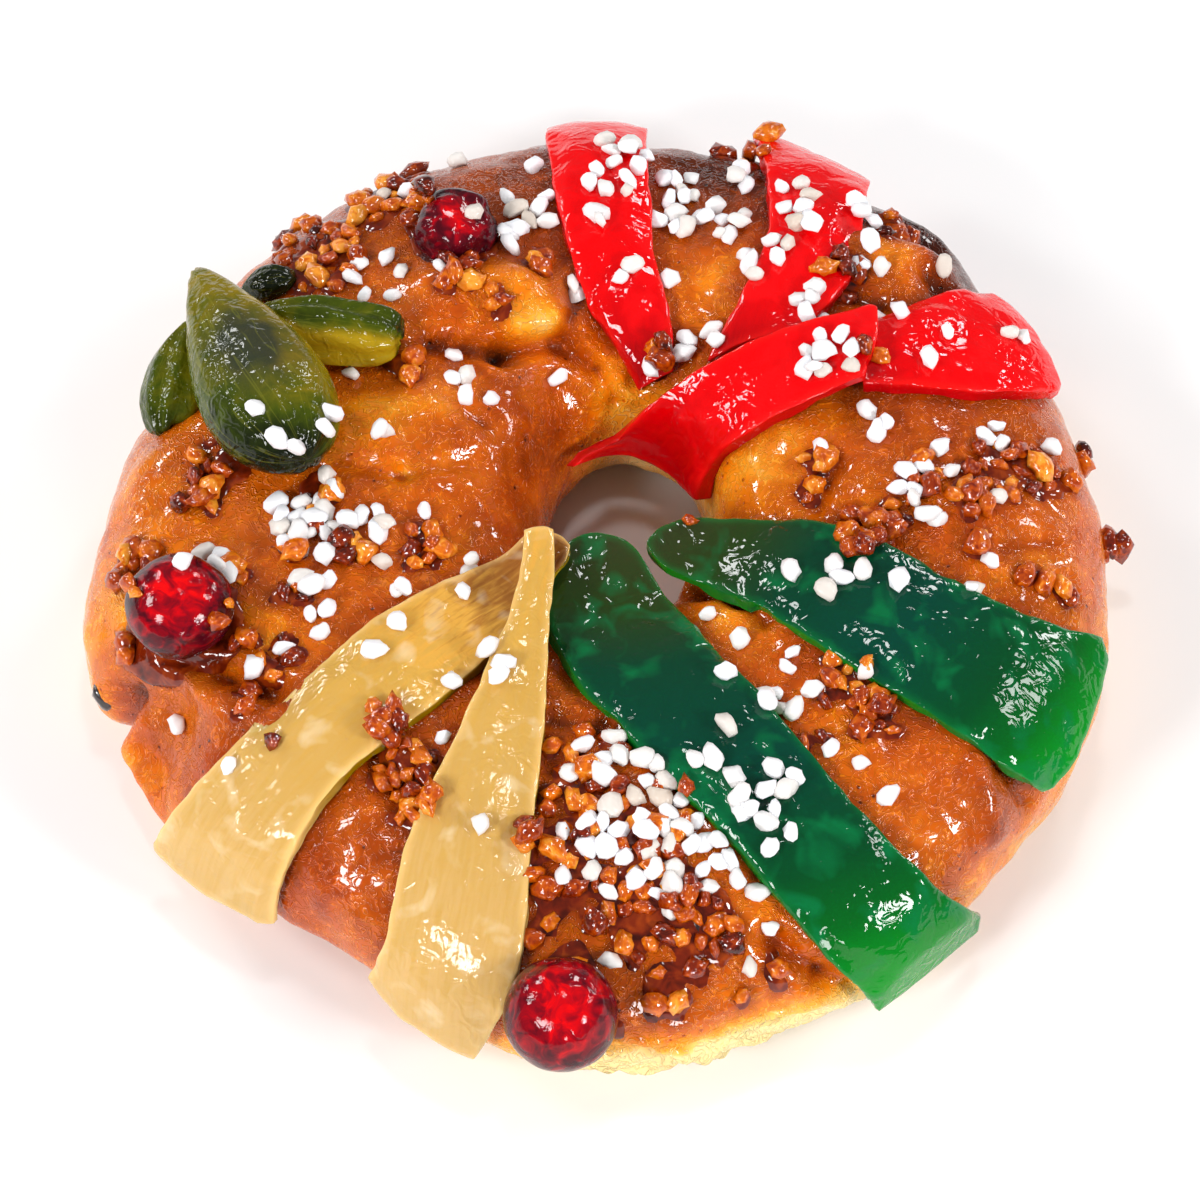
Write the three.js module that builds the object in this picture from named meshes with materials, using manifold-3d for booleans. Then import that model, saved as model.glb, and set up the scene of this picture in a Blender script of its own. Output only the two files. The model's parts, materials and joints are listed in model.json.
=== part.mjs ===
// Roscon de reyes: a festive ring of sweet bread, crossed by strips of candied fruit, with three candied
// cherries and a cluster of candied green figs. Millimetres, +Z up, the ring lies flat on its underside,
// and the origin is the middle of its footprint.
import * as THREE from 'three';
import { mergeVertices } from 'three/addons/utils/BufferGeometryUtils.js';
import Module from 'manifold-3d';

const wasm = await Module();
wasm.setup();

// The ring: half sizes in plan, height of the crown, and the height at which it is widest.
const ring = { halfAcross: 115, halfDeep: 118, high: 46, widestAt: 15 };
// The hole sits off the ring's centre and is narrower across than deep.
const hole = { x: 7, y: 12, halfAcross: 18.5, halfDeep: 24.5 };
// How square the section is across, above and below its widest height, and how flat its underside is.
const square = { across: 2.3, above: 2.2, below: 3.5, flat: 1.04 };
// Candied strips lie clear of the crust, and pieces cut to fit their neighbours keep the smaller gap.
const strip = { thick: 3.6, gap: 0.8, thinEdge: 0.35 };
const fitGap = 0.35;
// Faces round the ring, over the top of its section and under it, and along and across a strip.
const steps = { round: 96, overTop: 19, under: 5, along: 14, freeEnd: 3, across: 4 };

// A place on the ring is a heading round it, in degrees from +X towards +Y, and how far over its section
// it lies, in degrees: 0 is the outer side, 90 the crown and 180 the hole.

// Where the ring's outline stands out or draws in, by how much, and over how many degrees.
const rimBends = [
  { heading: 208, spread: 9, by: -5 },
  { heading: 224, spread: 10, by: -5 },
  { heading: 240, spread: 15, by: -11 },
  { heading: 291, spread: 10, by: -3 },
  { heading: 318, spread: 13, by: -4.5 },
  { heading: 47, spread: 10, by: 2.5 },
  { heading: 152, spread: 12, by: -4 },
  { heading: 173, spread: 9, by: -3 },
];

// Lumps and folds of the dough. One with "to" is a ridge or a furrow between two places.
const lumps = [
  { at: [158, 122], size: 24, rise: 3.5 },
  { at: [196, 132], size: 16, rise: 5 },
  { at: [118, 108], to: [130, 96], size: 11, rise: 4 },
  { at: [142, 106], to: [112, 124], size: 9, rise: -2.5 },
  { at: [222, 112], to: [206, 140], size: 9, rise: -2.5 },
  { at: [155, 38], size: 16, rise: -5 },
  { at: [172, 52], size: 14, rise: 2 },
  { at: [320, 34], size: 17, rise: 3 },
  { at: [238, 48], size: 15, rise: 3 },
  { at: [12, 132], size: 15, rise: 2.5 },
  { at: [8, 100], size: 24, rise: 1.5 },
  { at: [48, 46], size: 17, rise: 3.5 },
  { at: [76, 85], size: 14, rise: -1.5 },
  { at: [202, 26], size: 9, rise: -4 },
  { at: [209, 2], size: 11, rise: 2.5 },
  { at: [282, 2], size: 10, rise: 2.5 },
  { at: [294, 6], size: 12, rise: 2 },
  { at: [330, 110], to: [324, 60], size: 11, rise: 1.6 },
];

// Strips of candied fruit. Their edges run from the hole end to the outer end through places on the ring:
// heading, over, and lift above the crust in millimetres. "right" is the clockwise edge, as seen looking
// out from the hole, and "middle" shapes a strip between its edges. "hang" is where the hole end reaches
// out freely: its right corner, middle and left corner in millimetres.
const red = 0xd8000c;
const green = 0x0b5030;
const cream = 0xdcb864;
const strips = [
  {
    name: 'red_strip_back',
    colour: red,
    right: [[66, 136, 0], [74.5, 115, 0], [80, 100, 0], [83, 77, 0], [84, 18, 1]],
    left: [[82, 147, 0], [98.5, 118, 0], [100, 100, 0], [99, 84, 0], [95.5, 18, 1]],
  },
  {
    name: 'red_strip_right_back',
    colour: red,
    right: [[40.5, 103, 0], [45, 80, 0], [49.5, 68, 0], [54, 48, 0], [57, 20, 0]],
    left: [[55.5, 128, 0], [59.5, 90, 0], [64.5, 69, 0], [69, 43, 0.5], [72, 20, 4]],
  },
  {
    name: 'red_strip_right_outer',
    colour: red,
    right: [[22.5, 96, 0], [19, 82, 0], [17.5, 66, 0], [20, 32, 0]],
    left: [[35.5, 88, 0], [35.5, 70, 0], [35.5, 51, 0], [34, 34, 0]],
  },
  {
    name: 'red_strip_right_inner',
    colour: red,
    right: [[14, 166, 0], [20.5, 149, 0], [21, 136, 0], [21.5, 116, 0.5], [21.5, 96, 4.6]],
    middle: [[64, 172, 0.5], [40.5, 148, 1], [31.5, 123, 1], [29, 106, 3], [28.5, 90, 5]],
    left: [[149, 161, 2.4], [97, 161, 4.6], [60, 138, 4.6], [41, 106, 5], [36.5, 84, 4.6]],
  },
  {
    name: 'green_strip_right',
    colour: green,
    right: [[312, 134, 0], [315.5, 114, 0], [319.5, 86, 0], [323.5, 58, 0], [327.5, 24, 0]],
    left: [[345, 126, 0], [346.5, 104, 0], [344, 88, 0], [343, 67, 0], [348, 28, 0]],
    hang: [[16, -12, 39], [11, -5, 39], [19, 1.5, 39]],
  },
  {
    name: 'green_strip_front',
    colour: green,
    right: [[244, 122, 0], [260.5, 108, 0], [275, 94, 0], [287.5, 70, 0], [294.5, 35, 0], [300, 0, 0]],
    left: [[294, 132, 0], [301.5, 96, 0], [305.5, 68, 0], [309.5, 34, 0], [316, 0, 0]],
    hang: [[-8, -8, 42], [1, -5, 43], [10, -9, 42]],
  },
  {
    name: 'cream_strip_left',
    colour: cream,
    right: [[213, 126, 0], [212.5, 95, 0], [215, 74, 0], [216, 46, 0], [214.5, 4, 0]],
    left: [[239.5, 119, 2], [235.5, 92, 0], [231, 67, 0], [230.5, 42, 0], [231, 4, 0]],
    hang: [[-14, -6, 46.5], [-5, -11, 46.5], [-11, -20, 46.5]],
  },
  {
    name: 'cream_strip_front',
    colour: cream,
    right: [[237, 108, 4.4], [241, 88, 1], [243, 61, 0], [245.5, 30, 0], [244, 8, 0]],
    left: [[243, 122, 8.4], [252.5, 105, 2], [257, 90, 0], [260, 67, 0], [261.5, 42, 0], [258, 4, 0]],
    hang: [[-15.5, -9, 51], [-12, -9, 51], [-9, -9, 51]],
  },
];

// Candied cherries, pressed into the crust by "sunk".
const cherries = [
  { name: 'cherry_left', at: [197, 60], sunk: 3, across: 23.5, tall: 21 },
  { name: 'cherry_back', at: [118, 84], sunk: 5, across: 19, tall: 16 },
  { name: 'cherry_front', at: [266.5, 30], sunk: 4, across: 24, tall: 23 },
];

// Candied figs, each a flattened pear from the middle of its round end to the tip of its stem end, in
// millimetres. "belly" below 1 brings the widest place nearer the round end, and "neck" is how blunt the
// ends are.
const figs = [
  {
    name: 'fig_large',
    from: [-69, 18, 56],
    to: [-90, 61.5, 52.5],
    wide: 28.5,
    thick: 22,
    belly: 0.62,
    neck: 0.24,
  },
  {
    name: 'fig_right',
    from: [-45, 44, 50],
    to: [-80, 48, 50],
    wide: 12,
    thick: 10,
    belly: 1,
    neck: 0.8,
  },
  {
    name: 'fig_left',
    from: [-94.5, 32, 37],
    to: [-90.5, 55, 43],
    wide: 16,
    thick: 12,
    belly: 0.8,
    neck: 0.2,
  },
  {
    name: 'fig_far',
    from: [-72, 65, 41],
    to: [-81, 65, 38],
    wide: 10,
    thick: 9,
    belly: 0.8,
    neck: 0.2,
  },
];
const pearSteps = { along: 13, round: 16 };

const rad = THREE.MathUtils.degToRad;

// How far the outline stands out at a heading.
function rimBend(heading) {
  return rimBends.reduce((sum, bend) => {
    const away = THREE.MathUtils.euclideanModulo(heading - bend.heading + 180, 360) - 180;
    return sum + bend.by * Math.exp(-((away / bend.spread) ** 2));
  }, 0);
}

// A point of the smooth ring, before its lumps.
function plainPoint(heading, over) {
  const cos = Math.cos(rad(heading));
  const sin = Math.sin(rad(heading));
  const across = Math.cos(rad(over));
  const up = Math.sin(rad(over));
  const toHole = (1 - Math.sign(across) * Math.abs(across) ** (2 / square.across)) / 2;
  const height = up >= 0
    ? ring.widestAt + (ring.high - ring.widestAt) * up ** (2 / square.above)
    : ring.widestAt * (1 - Math.min(1, square.flat * (-up) ** (2 / square.below)));
  const bend = rimBend(heading);
  const outer = new THREE.Vector3((ring.halfAcross + bend) * cos, (ring.halfDeep + bend) * sin, height);
  const inner = new THREE.Vector3(hole.x + hole.halfAcross * cos, hole.y + hole.halfDeep * sin, height);
  return outer.lerp(inner, toHole);
}

function plainNormal(heading, over) {
  const step = 0.5;
  const alongRing = plainPoint(heading + step, over).sub(plainPoint(heading - step, over));
  const overRing = plainPoint(heading, over + step).sub(plainPoint(heading, over - step));
  return alongRing.cross(overRing).normalize();
}

for (const lump of lumps) {
  const start = plainPoint(...lump.at);
  lump.line = new THREE.Line3(start, lump.to ? plainPoint(...lump.to) : start);
}

// How far the dough stands out of the smooth ring at a point; nothing stands out of the flat underside.
function lumpRise(point) {
  const nearest = new THREE.Vector3();
  let rise = 0;
  for (const lump of lumps) {
    lump.line.closestPointToPoint(point, true, nearest);
    rise += lump.rise * Math.exp(-nearest.distanceToSquared(point) / lump.size ** 2);
  }
  return rise * THREE.MathUtils.smoothstep(point.z, 1, 9);
}

// A point of the crust, or one that stands proud of it.
function crustPoint(heading, over, proud = 0) {
  const point = plainPoint(heading, over);
  return point.addScaledVector(plainNormal(heading, over), lumpRise(point) + proud);
}

// Leaves a geometry with only its welded positions and fresh normals.
function weld(geometry) {
  geometry.deleteAttribute('normal');
  geometry.deleteAttribute('uv');
  const welded = mergeVertices(geometry, 1e-3);
  welded.computeVertexNormals();
  return welded;
}

// Moves every vertex of a geometry to where "move" puts it.
function reshape(geometry, move) {
  const { position, uv } = geometry.attributes;
  for (let i = 0; i < position.count; i += 1) {
    const place = new THREE.Vector3().fromBufferAttribute(position, i);
    const moved = move(place, new THREE.Vector2().fromBufferAttribute(uv, i));
    position.setXYZ(i, moved.x, moved.y, moved.z);
  }
  return weld(geometry);
}

// Turns a share of the way round the section into degrees over it, with smaller faces on top.
function overAt(share) {
  const topFrom = -20;
  const topTo = 200;
  const topShare = steps.overTop / (steps.overTop + steps.under);
  return share <= topShare
    ? THREE.MathUtils.mapLinear(share, 0, topShare, topFrom, topTo)
    : THREE.MathUtils.mapLinear(share, topShare, 1, topTo, topFrom + 360);
}

function breadGeometry(proud = 0) {
  const torus = new THREE.TorusGeometry(2, 1, steps.overTop + steps.under, steps.round);
  return reshape(torus, (place, uv) => crustPoint(uv.x * 360, overAt(uv.y), proud));
}

function edgeCurve(places) {
  return new THREE.CatmullRomCurve3(places.map((place) => new THREE.Vector3(...place)), false, 'centripetal');
}

// The curve through three points, taken at 0, a half and 1.
function throughThree(right, middle, left, side) {
  return new THREE.Vector3()
    .addScaledVector(right, (1 - side) * (1 - 2 * side))
    .addScaledVector(middle, 4 * side * (1 - side))
    .addScaledVector(left, side * (2 * side - 1));
}

// Finds the point of a strip at a share of its length and width and a height over its underside.
function stripLay(piece) {
  const right = edgeCurve(piece.right);
  const left = edgeCurve(piece.left);
  const middle = piece.middle && edgeCurve(piece.middle);
  const onCrust = (along, side, height) => {
    const start = right.getPoint(along);
    const end = left.getPoint(along);
    const centre = middle ? middle.getPoint(along) : start.clone().lerp(end, 0.5);
    const place = throughThree(start, centre, end, side);
    return crustPoint(place.x, place.y, strip.gap + place.z + height);
  };
  if (!piece.hang) {
    return onCrust;
  }
  const corners = piece.hang.map((corner) => new THREE.Vector3(...corner));
  const freeShare = steps.freeEnd / steps.along;
  return (along, side, height) => {
    if (along >= freeShare) {
      return onCrust((along - freeShare) / (1 - freeShare), side, height);
    }
    const start = onCrust(0, side, height);
    const end = throughThree(...corners, side);
    end.z += height;
    const onward = start.clone().sub(onCrust(0.04, side, height)).normalize();
    const bend = start.clone().addScaledVector(onward, start.distanceTo(end) / 2);
    return new THREE.QuadraticBezierCurve3(start, bend, end).getPoint(1 - along / freeShare);
  };
}

// A strip is a box whose length runs out from the hole and whose width runs anticlockwise.
function stripGeometry(piece) {
  const lay = stripLay(piece);
  const box = new THREE.BoxGeometry(1, 1, 1, steps.along, steps.across, 1);
  return reshape(box, (place) => {
    const thickness = strip.thick * (1 - strip.thinEdge * Math.abs(2 * place.y) ** 4);
    return lay(place.x + 0.5, place.y + 0.5, thickness * (place.z + 0.5));
  });
}

function cherryGeometry(cherry) {
  const centre = crustPoint(...cherry.at, cherry.tall / 2 - cherry.sunk);
  const sphere = new THREE.SphereGeometry(0.5, 16, 11);
  sphere.rotateX(Math.PI / 2);
  sphere.scale(cherry.across, cherry.across, cherry.tall);
  sphere.translate(centre.x, centre.y, centre.z);
  return weld(sphere);
}

// A pear turned about its length, flattened, then laid from its round end to its stem end.
function figGeometry(fig, grow = 0) {
  const from = new THREE.Vector3(...fig.from);
  const to = new THREE.Vector3(...fig.to);
  const length = from.distanceTo(to) + fig.wide / 2;
  const profile = [];
  for (let i = 0; i <= pearSteps.along; i += 1) {
    const along = (1 - Math.cos((i / pearSteps.along) * Math.PI)) / 2;
    const body = Math.sin(Math.PI * along ** fig.belly) ** 0.85;
    const neck = fig.neck * Math.sin(Math.PI * along) ** 0.5;
    const closed = i === 0 || i === pearSteps.along;
    profile.push(new THREE.Vector2(closed ? 0 : Math.hypot(body, neck) / 2, along));
  }
  const pear = new THREE.LatheGeometry(profile, pearSteps.round);
  pear.scale(fig.wide + 2 * grow, length + 2 * grow, fig.thick + 2 * grow);
  pear.translate(0, -fig.wide / 2 - grow, 0);
  const axis = to.sub(from).normalize();
  const side = new THREE.Vector3().crossVectors(axis, new THREE.Vector3(0, 0, 1)).normalize();
  const up = new THREE.Vector3().crossVectors(side, axis);
  pear.applyMatrix4(new THREE.Matrix4().makeBasis(side, axis, up).setPosition(from));
  return weld(pear);
}

function toSolid(geometry) {
  const vertProperties = new Float32Array(geometry.attributes.position.array);
  const triVerts = new Uint32Array(geometry.index.array);
  return new wasm.Manifold(new wasm.Mesh({ numProp: 3, vertProperties, triVerts }));
}

function toGeometry(solid) {
  const mesh = solid.getMesh();
  const geometry = new THREE.BufferGeometry();
  geometry.setAttribute('position', new THREE.BufferAttribute(mesh.vertProperties, 3));
  geometry.setIndex(new THREE.BufferAttribute(mesh.triVerts, 1));
  geometry.computeVertexNormals();
  return geometry;
}

// Cuts a piece back from its neighbours, which come a little larger than they are.
function cutBack(geometry, neighbours) {
  const whole = toSolid(geometry);
  return toGeometry(neighbours.reduce((rest, neighbour) => rest.subtract(toSolid(neighbour)), whole));
}

function named(name, geometry, look) {
  const mesh = new THREE.Mesh(geometry, new THREE.MeshStandardMaterial({ metalness: 0, ...look }));
  mesh.name = name;
  return mesh;
}

const pieces = new THREE.Group();
pieces.add(named('bread', breadGeometry(), { color: 0xa8561c, roughness: 0.35 }));
for (const piece of strips) {
  pieces.add(named(piece.name, stripGeometry(piece), { color: piece.colour, roughness: 0.2 }));
}
const grownBread = breadGeometry(fitGap);
for (const cherry of cherries) {
  const geometry = cutBack(cherryGeometry(cherry), [grownBread]);
  pieces.add(named(cherry.name, geometry, { color: 0x8e0014, roughness: 0.1 }));
}
figs.forEach((fig, index) => {
  const earlier = figs.slice(0, index).map((other) => figGeometry(other, fitGap));
  const geometry = cutBack(figGeometry(fig), [grownBread, ...earlier]);
  pieces.add(named(fig.name, geometry, { color: 0x5a6014, roughness: 0.18 }));
});

// The origin is the middle of the footprint.
const box = new THREE.Box3().setFromObject(pieces);
const middle = box.getCenter(new THREE.Vector3());
pieces.position.set(-middle.x, -middle.y, -box.min.z);

const roscon = new THREE.Group();
roscon.add(pieces);

export default roscon;
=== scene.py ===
import bpy
import bmesh
import json
import math
import random
import numpy as np
from mathutils import Matrix, Vector, noise
from mathutils.bvhtree import BVHTree
from mathutils.kdtree import KDTree


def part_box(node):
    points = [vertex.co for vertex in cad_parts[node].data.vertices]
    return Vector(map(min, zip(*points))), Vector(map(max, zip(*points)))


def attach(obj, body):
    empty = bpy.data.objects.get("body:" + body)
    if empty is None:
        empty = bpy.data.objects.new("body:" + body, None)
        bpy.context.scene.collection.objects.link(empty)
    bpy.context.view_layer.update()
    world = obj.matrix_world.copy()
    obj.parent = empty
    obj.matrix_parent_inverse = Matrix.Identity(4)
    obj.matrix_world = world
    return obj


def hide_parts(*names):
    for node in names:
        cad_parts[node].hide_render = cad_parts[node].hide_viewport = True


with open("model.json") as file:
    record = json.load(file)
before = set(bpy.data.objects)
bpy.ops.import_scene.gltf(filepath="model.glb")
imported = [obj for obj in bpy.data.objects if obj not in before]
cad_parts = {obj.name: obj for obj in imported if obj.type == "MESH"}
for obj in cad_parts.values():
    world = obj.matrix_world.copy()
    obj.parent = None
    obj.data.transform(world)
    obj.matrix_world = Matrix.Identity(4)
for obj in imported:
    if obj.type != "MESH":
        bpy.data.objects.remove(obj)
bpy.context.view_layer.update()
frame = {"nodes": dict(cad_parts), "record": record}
scene = bpy.context.scene
print("frame loaded,", len(frame["nodes"]), "nodes")

mm = 0.001
breadLow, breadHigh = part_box("bread")
# Places on the ring are millimetres from here: x to the right, y to the back, as the ring faces the camera
ringMiddle = Vector(((breadLow.x + breadHigh.x) / 2, (breadLow.y + breadHigh.y) / 2, breadLow.z))
down = Vector((0, 0, -1))


def tint(hexCode):  # sRGB hex to the linear colour that sockets take
    parts = [int(hexCode[i:i + 2], 16) / 255 for i in (1, 3, 5)]
    return (*[c / 12.92 if c <= 0.04045 else ((c + 0.055) / 1.055) ** 2.4 for c in parts], 1.0)


def pickSocket(sockets, name):
    return next((s for s in sockets if s.identifier == name), None) or sockets[name]


# A link is a node, whose first output it takes, or the name of a value kept on the mesh. Textures read Object
# coordinates where no link says otherwise
def addNode(tree, kind, settings=None, links=None):
    node = tree.nodes.new("ShaderNode" + kind)
    for name, value in (settings or {}).items():
        if name == "stops":  # of a colour ramp, as (place, hex)
            ramp = node.color_ramp
            while len(ramp.elements) < len(value):
                ramp.elements.new(0.5)
            for element, (place, hexCode) in zip(ramp.elements, value):
                element.position = place
                element.color = tint(hexCode)
        elif name in node.bl_rna.properties:
            setattr(node, name, value)
        else:
            pickSocket(node.inputs, name).default_value = value
    if kind in ("TexNoise", "TexVoronoi") and not links:
        tree.links.new(addNode(tree, "TexCoord").outputs["Object"], node.inputs["Vector"])
    for name, source in (links or {}).items():
        if isinstance(source, str):
            output = addNode(tree, "Attribute", {"attribute_name": source}).outputs["Fac"]
        else:
            output = pickSocket(source.outputs, "Result_Color") if source.type == "MIX" else source.outputs[0]
        tree.links.new(output, pickSocket(node.inputs, name))
    return node


def newMaterial(name):
    material = bpy.data.materials.new(name)
    material.use_nodes = True
    material.node_tree.nodes.clear()
    return material, material.node_tree


def cadCopy(node):  # a CAD node's mesh, merged and turned back into four-sided faces
    bm = bmesh.new()
    bm.from_mesh(frame["nodes"][node].data)
    bmesh.ops.remove_doubles(bm, verts=bm.verts, dist=0.01 * mm)
    bmesh.ops.join_triangles(bm, faces=bm.faces, angle_face_threshold=math.radians(60),
                             angle_shape_threshold=math.radians(80))
    return bm


def newPiece(name, bm):
    mesh = bpy.data.meshes.new(name)
    bm.to_mesh(mesh)
    bm.free()
    piece = bpy.data.objects.new(name, mesh)
    scene.collection.objects.link(piece)
    return piece


def addModifier(piece, kind, **settings):
    modifier = piece.modifiers.new(kind.lower(), kind)
    for name, value in settings.items():
        setattr(modifier, name, value)


def applyModifiers(piece):
    graph = bpy.context.evaluated_depsgraph_get()
    finished = bpy.data.meshes.new_from_object(piece.evaluated_get(graph))
    piece.modifiers.clear()
    piece.data = finished


def readVectors(mesh, field):
    flat = np.empty(len(mesh.vertices) * 3, np.float32)
    mesh.vertices.foreach_get(field, flat)
    return flat.reshape(-1, 3).astype(float)


def readPoints(mesh):
    return readVectors(mesh, "co")


def readNormals(mesh):
    return readVectors(mesh, "normal")


def writePoints(mesh, points):
    mesh.vertices.foreach_set("co", points.astype(np.float32).ravel())
    mesh.update()


def writeValue(mesh, name, values):
    layer = mesh.attributes.get(name) or mesh.attributes.new(name, "FLOAT", "POINT")
    layer.data.foreach_set("value", np.asarray(values, np.float32))


def unevenness(points, size, seed):  # smooth noise from -1 to 1, with bumps about "size" mm across
    scaled = points / (size * mm) + seed * 7.3
    return np.array([noise.noise(p) for p in scaled])


def smoothStep(values, low, high):
    share = np.clip((values - low) / (high - low), 0, 1)
    return share * share * (3 - 2 * share)


def fadeOut(values, low, high):  # 1 below, 0 above
    return 1 - smoothStep(values, low, high)


def bell(values, width):
    return np.exp(-(values / width) ** 2)


def nearLine(points, start, end):  # distance from each point to a stretch of line, mm
    start, end = np.array(start), np.array(end)
    along = end - start
    share = np.clip((points - start) @ along / max(along @ along, 1e-12), 0, 1)
    return np.linalg.norm(points - start - share[:, None] * along, axis=1) / mm


def gapTo(others, points):  # from each point to the nearest of the others, mm
    lookup = KDTree(len(others))
    for i, point in enumerate(others):
        lookup.insert(point, i)
    lookup.balance()
    return np.array([lookup.find(p)[2] for p in points]) / mm


def overhead(x, y):  # a point well above a place on the ring, to look down from
    return ringMiddle + Vector((x * mm, y * mm, 0.2))


def joinTrees(pieces):  # one search tree over the surfaces of all pieces
    points, faces = [], []
    for piece in pieces:
        start = len(points)
        points += [v.co.copy() for v in piece.data.vertices]
        faces += [[start + i for i in p.vertices] for p in piece.data.polygons]
    return BVHTree.FromPolygons(points, faces)


def smoothFaces(piece):
    piece.data.polygons.foreach_set("use_smooth", [True] * len(piece.data.polygons))


def finishPiece(piece, material, slotName, *nodes):
    smoothFaces(piece)
    piece.data.materials.clear()
    piece.data.materials.append(material)
    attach(piece, "root")
    if nodes:
        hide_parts(*nodes)
    print("made", piece.name, len(piece.data.polygons), "faces")


camera = {"aim": (0.6, -6.5, 20), "elevation": 58, "distance": 0.9, "lens": 121.4}

cameraData = bpy.data.cameras.new("camera")
cameraData.lens = camera["lens"]
cameraObject = bpy.data.objects.new("camera", cameraData)
scene.collection.objects.link(cameraObject)
elevation = math.radians(camera["elevation"])
aim = ringMiddle + Vector(camera["aim"]) * mm
cameraObject.location = aim + camera["distance"] * Vector((0, -math.cos(elevation), math.sin(elevation)))
cameraObject.rotation_euler = (math.pi / 2 - elevation, 0, 0)
scene.camera = cameraObject

# Azimuth is degrees from the front, rightwards; sizes and distances are metres
softboxes = {
    "frontLeft": {"azimuth": -46, "elevation": 34, "distance": 1.3, "size": 0.33, "watts": 10.0},
    "frontRight": {"azimuth": 58, "elevation": 30, "distance": 1.3, "size": 0.27, "watts": 8.6},
    "front": {"azimuth": 6, "elevation": 14, "distance": 1.3, "size": 0.22, "watts": 3.4},
    "left": {"azimuth": -96, "elevation": 36, "distance": 1.3, "size": 0.22, "watts": 3.4},
    "right": {"azimuth": 104, "elevation": 34, "distance": 1.3, "size": 0.22, "watts": 2.8},
    "backRight": {"azimuth": 152, "elevation": 32, "distance": 1.3, "size": 0.2, "watts": 2.8},
    "backLeft": {"azimuth": -138, "elevation": 30, "distance": 1.3, "size": 0.2, "watts": 2.8},
    "lowLeft": {"azimuth": -118, "elevation": 17, "distance": 1.3, "size": 0.15, "watts": 1.8},
    "lowRight": {"azimuth": 126, "elevation": 19, "distance": 1.3, "size": 0.15, "watts": 1.6},
    "overhead": {"azimuth": 170, "elevation": 80, "distance": 1.2, "size": 0.14, "watts": 1.6},
}
for name, box in softboxes.items():
    lightData = bpy.data.lights.new(name, "AREA")
    lightData.shape = "SQUARE"
    lightData.size = box["size"]
    lightData.energy = box["watts"]
    light = bpy.data.objects.new(name, lightData)
    scene.collection.objects.link(light)
    turn, rise = math.radians(box["azimuth"]), math.radians(box["elevation"])
    away = Vector((math.sin(turn) * math.cos(rise), -math.cos(turn) * math.cos(rise), math.sin(rise)))
    light.location = aim + away * box["distance"]
    light.rotation_euler = away.to_track_quat("Z", "Y").to_euler()

studio = {"air": "#F4F6FA", "airStrength": 0.22, "paper": "#F4F4F4", "floorReach": 2.5, "floorBelow": 0.0002}

world = bpy.data.worlds.new("studio")
world.use_nodes = True
world.node_tree.nodes["Background"].inputs["Color"].default_value = tint(studio["air"])
world.node_tree.nodes["Background"].inputs["Strength"].default_value = studio["airStrength"]
scene.world = world
scene.view_settings.view_transform = "Standard"

floorMesh = bmesh.new()
bmesh.ops.create_grid(floorMesh, x_segments=1, y_segments=1, size=studio["floorReach"])
bmesh.ops.translate(floorMesh, verts=floorMesh.verts, vec=(0, 0, breadLow.z - studio["floorBelow"]))
floor = newPiece("floor", floorMesh)
paper, tree = newMaterial("palePaper")
shader = addNode(tree, "BsdfPrincipled", {"Base Color": tint(studio["paper"]), "Roughness": 0.9, "IOR": 1.4})
addNode(tree, "OutputMaterial", links={"Surface": shader})
floor.data.materials.append(paper)
print("camera, lights and floor placed")

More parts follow.
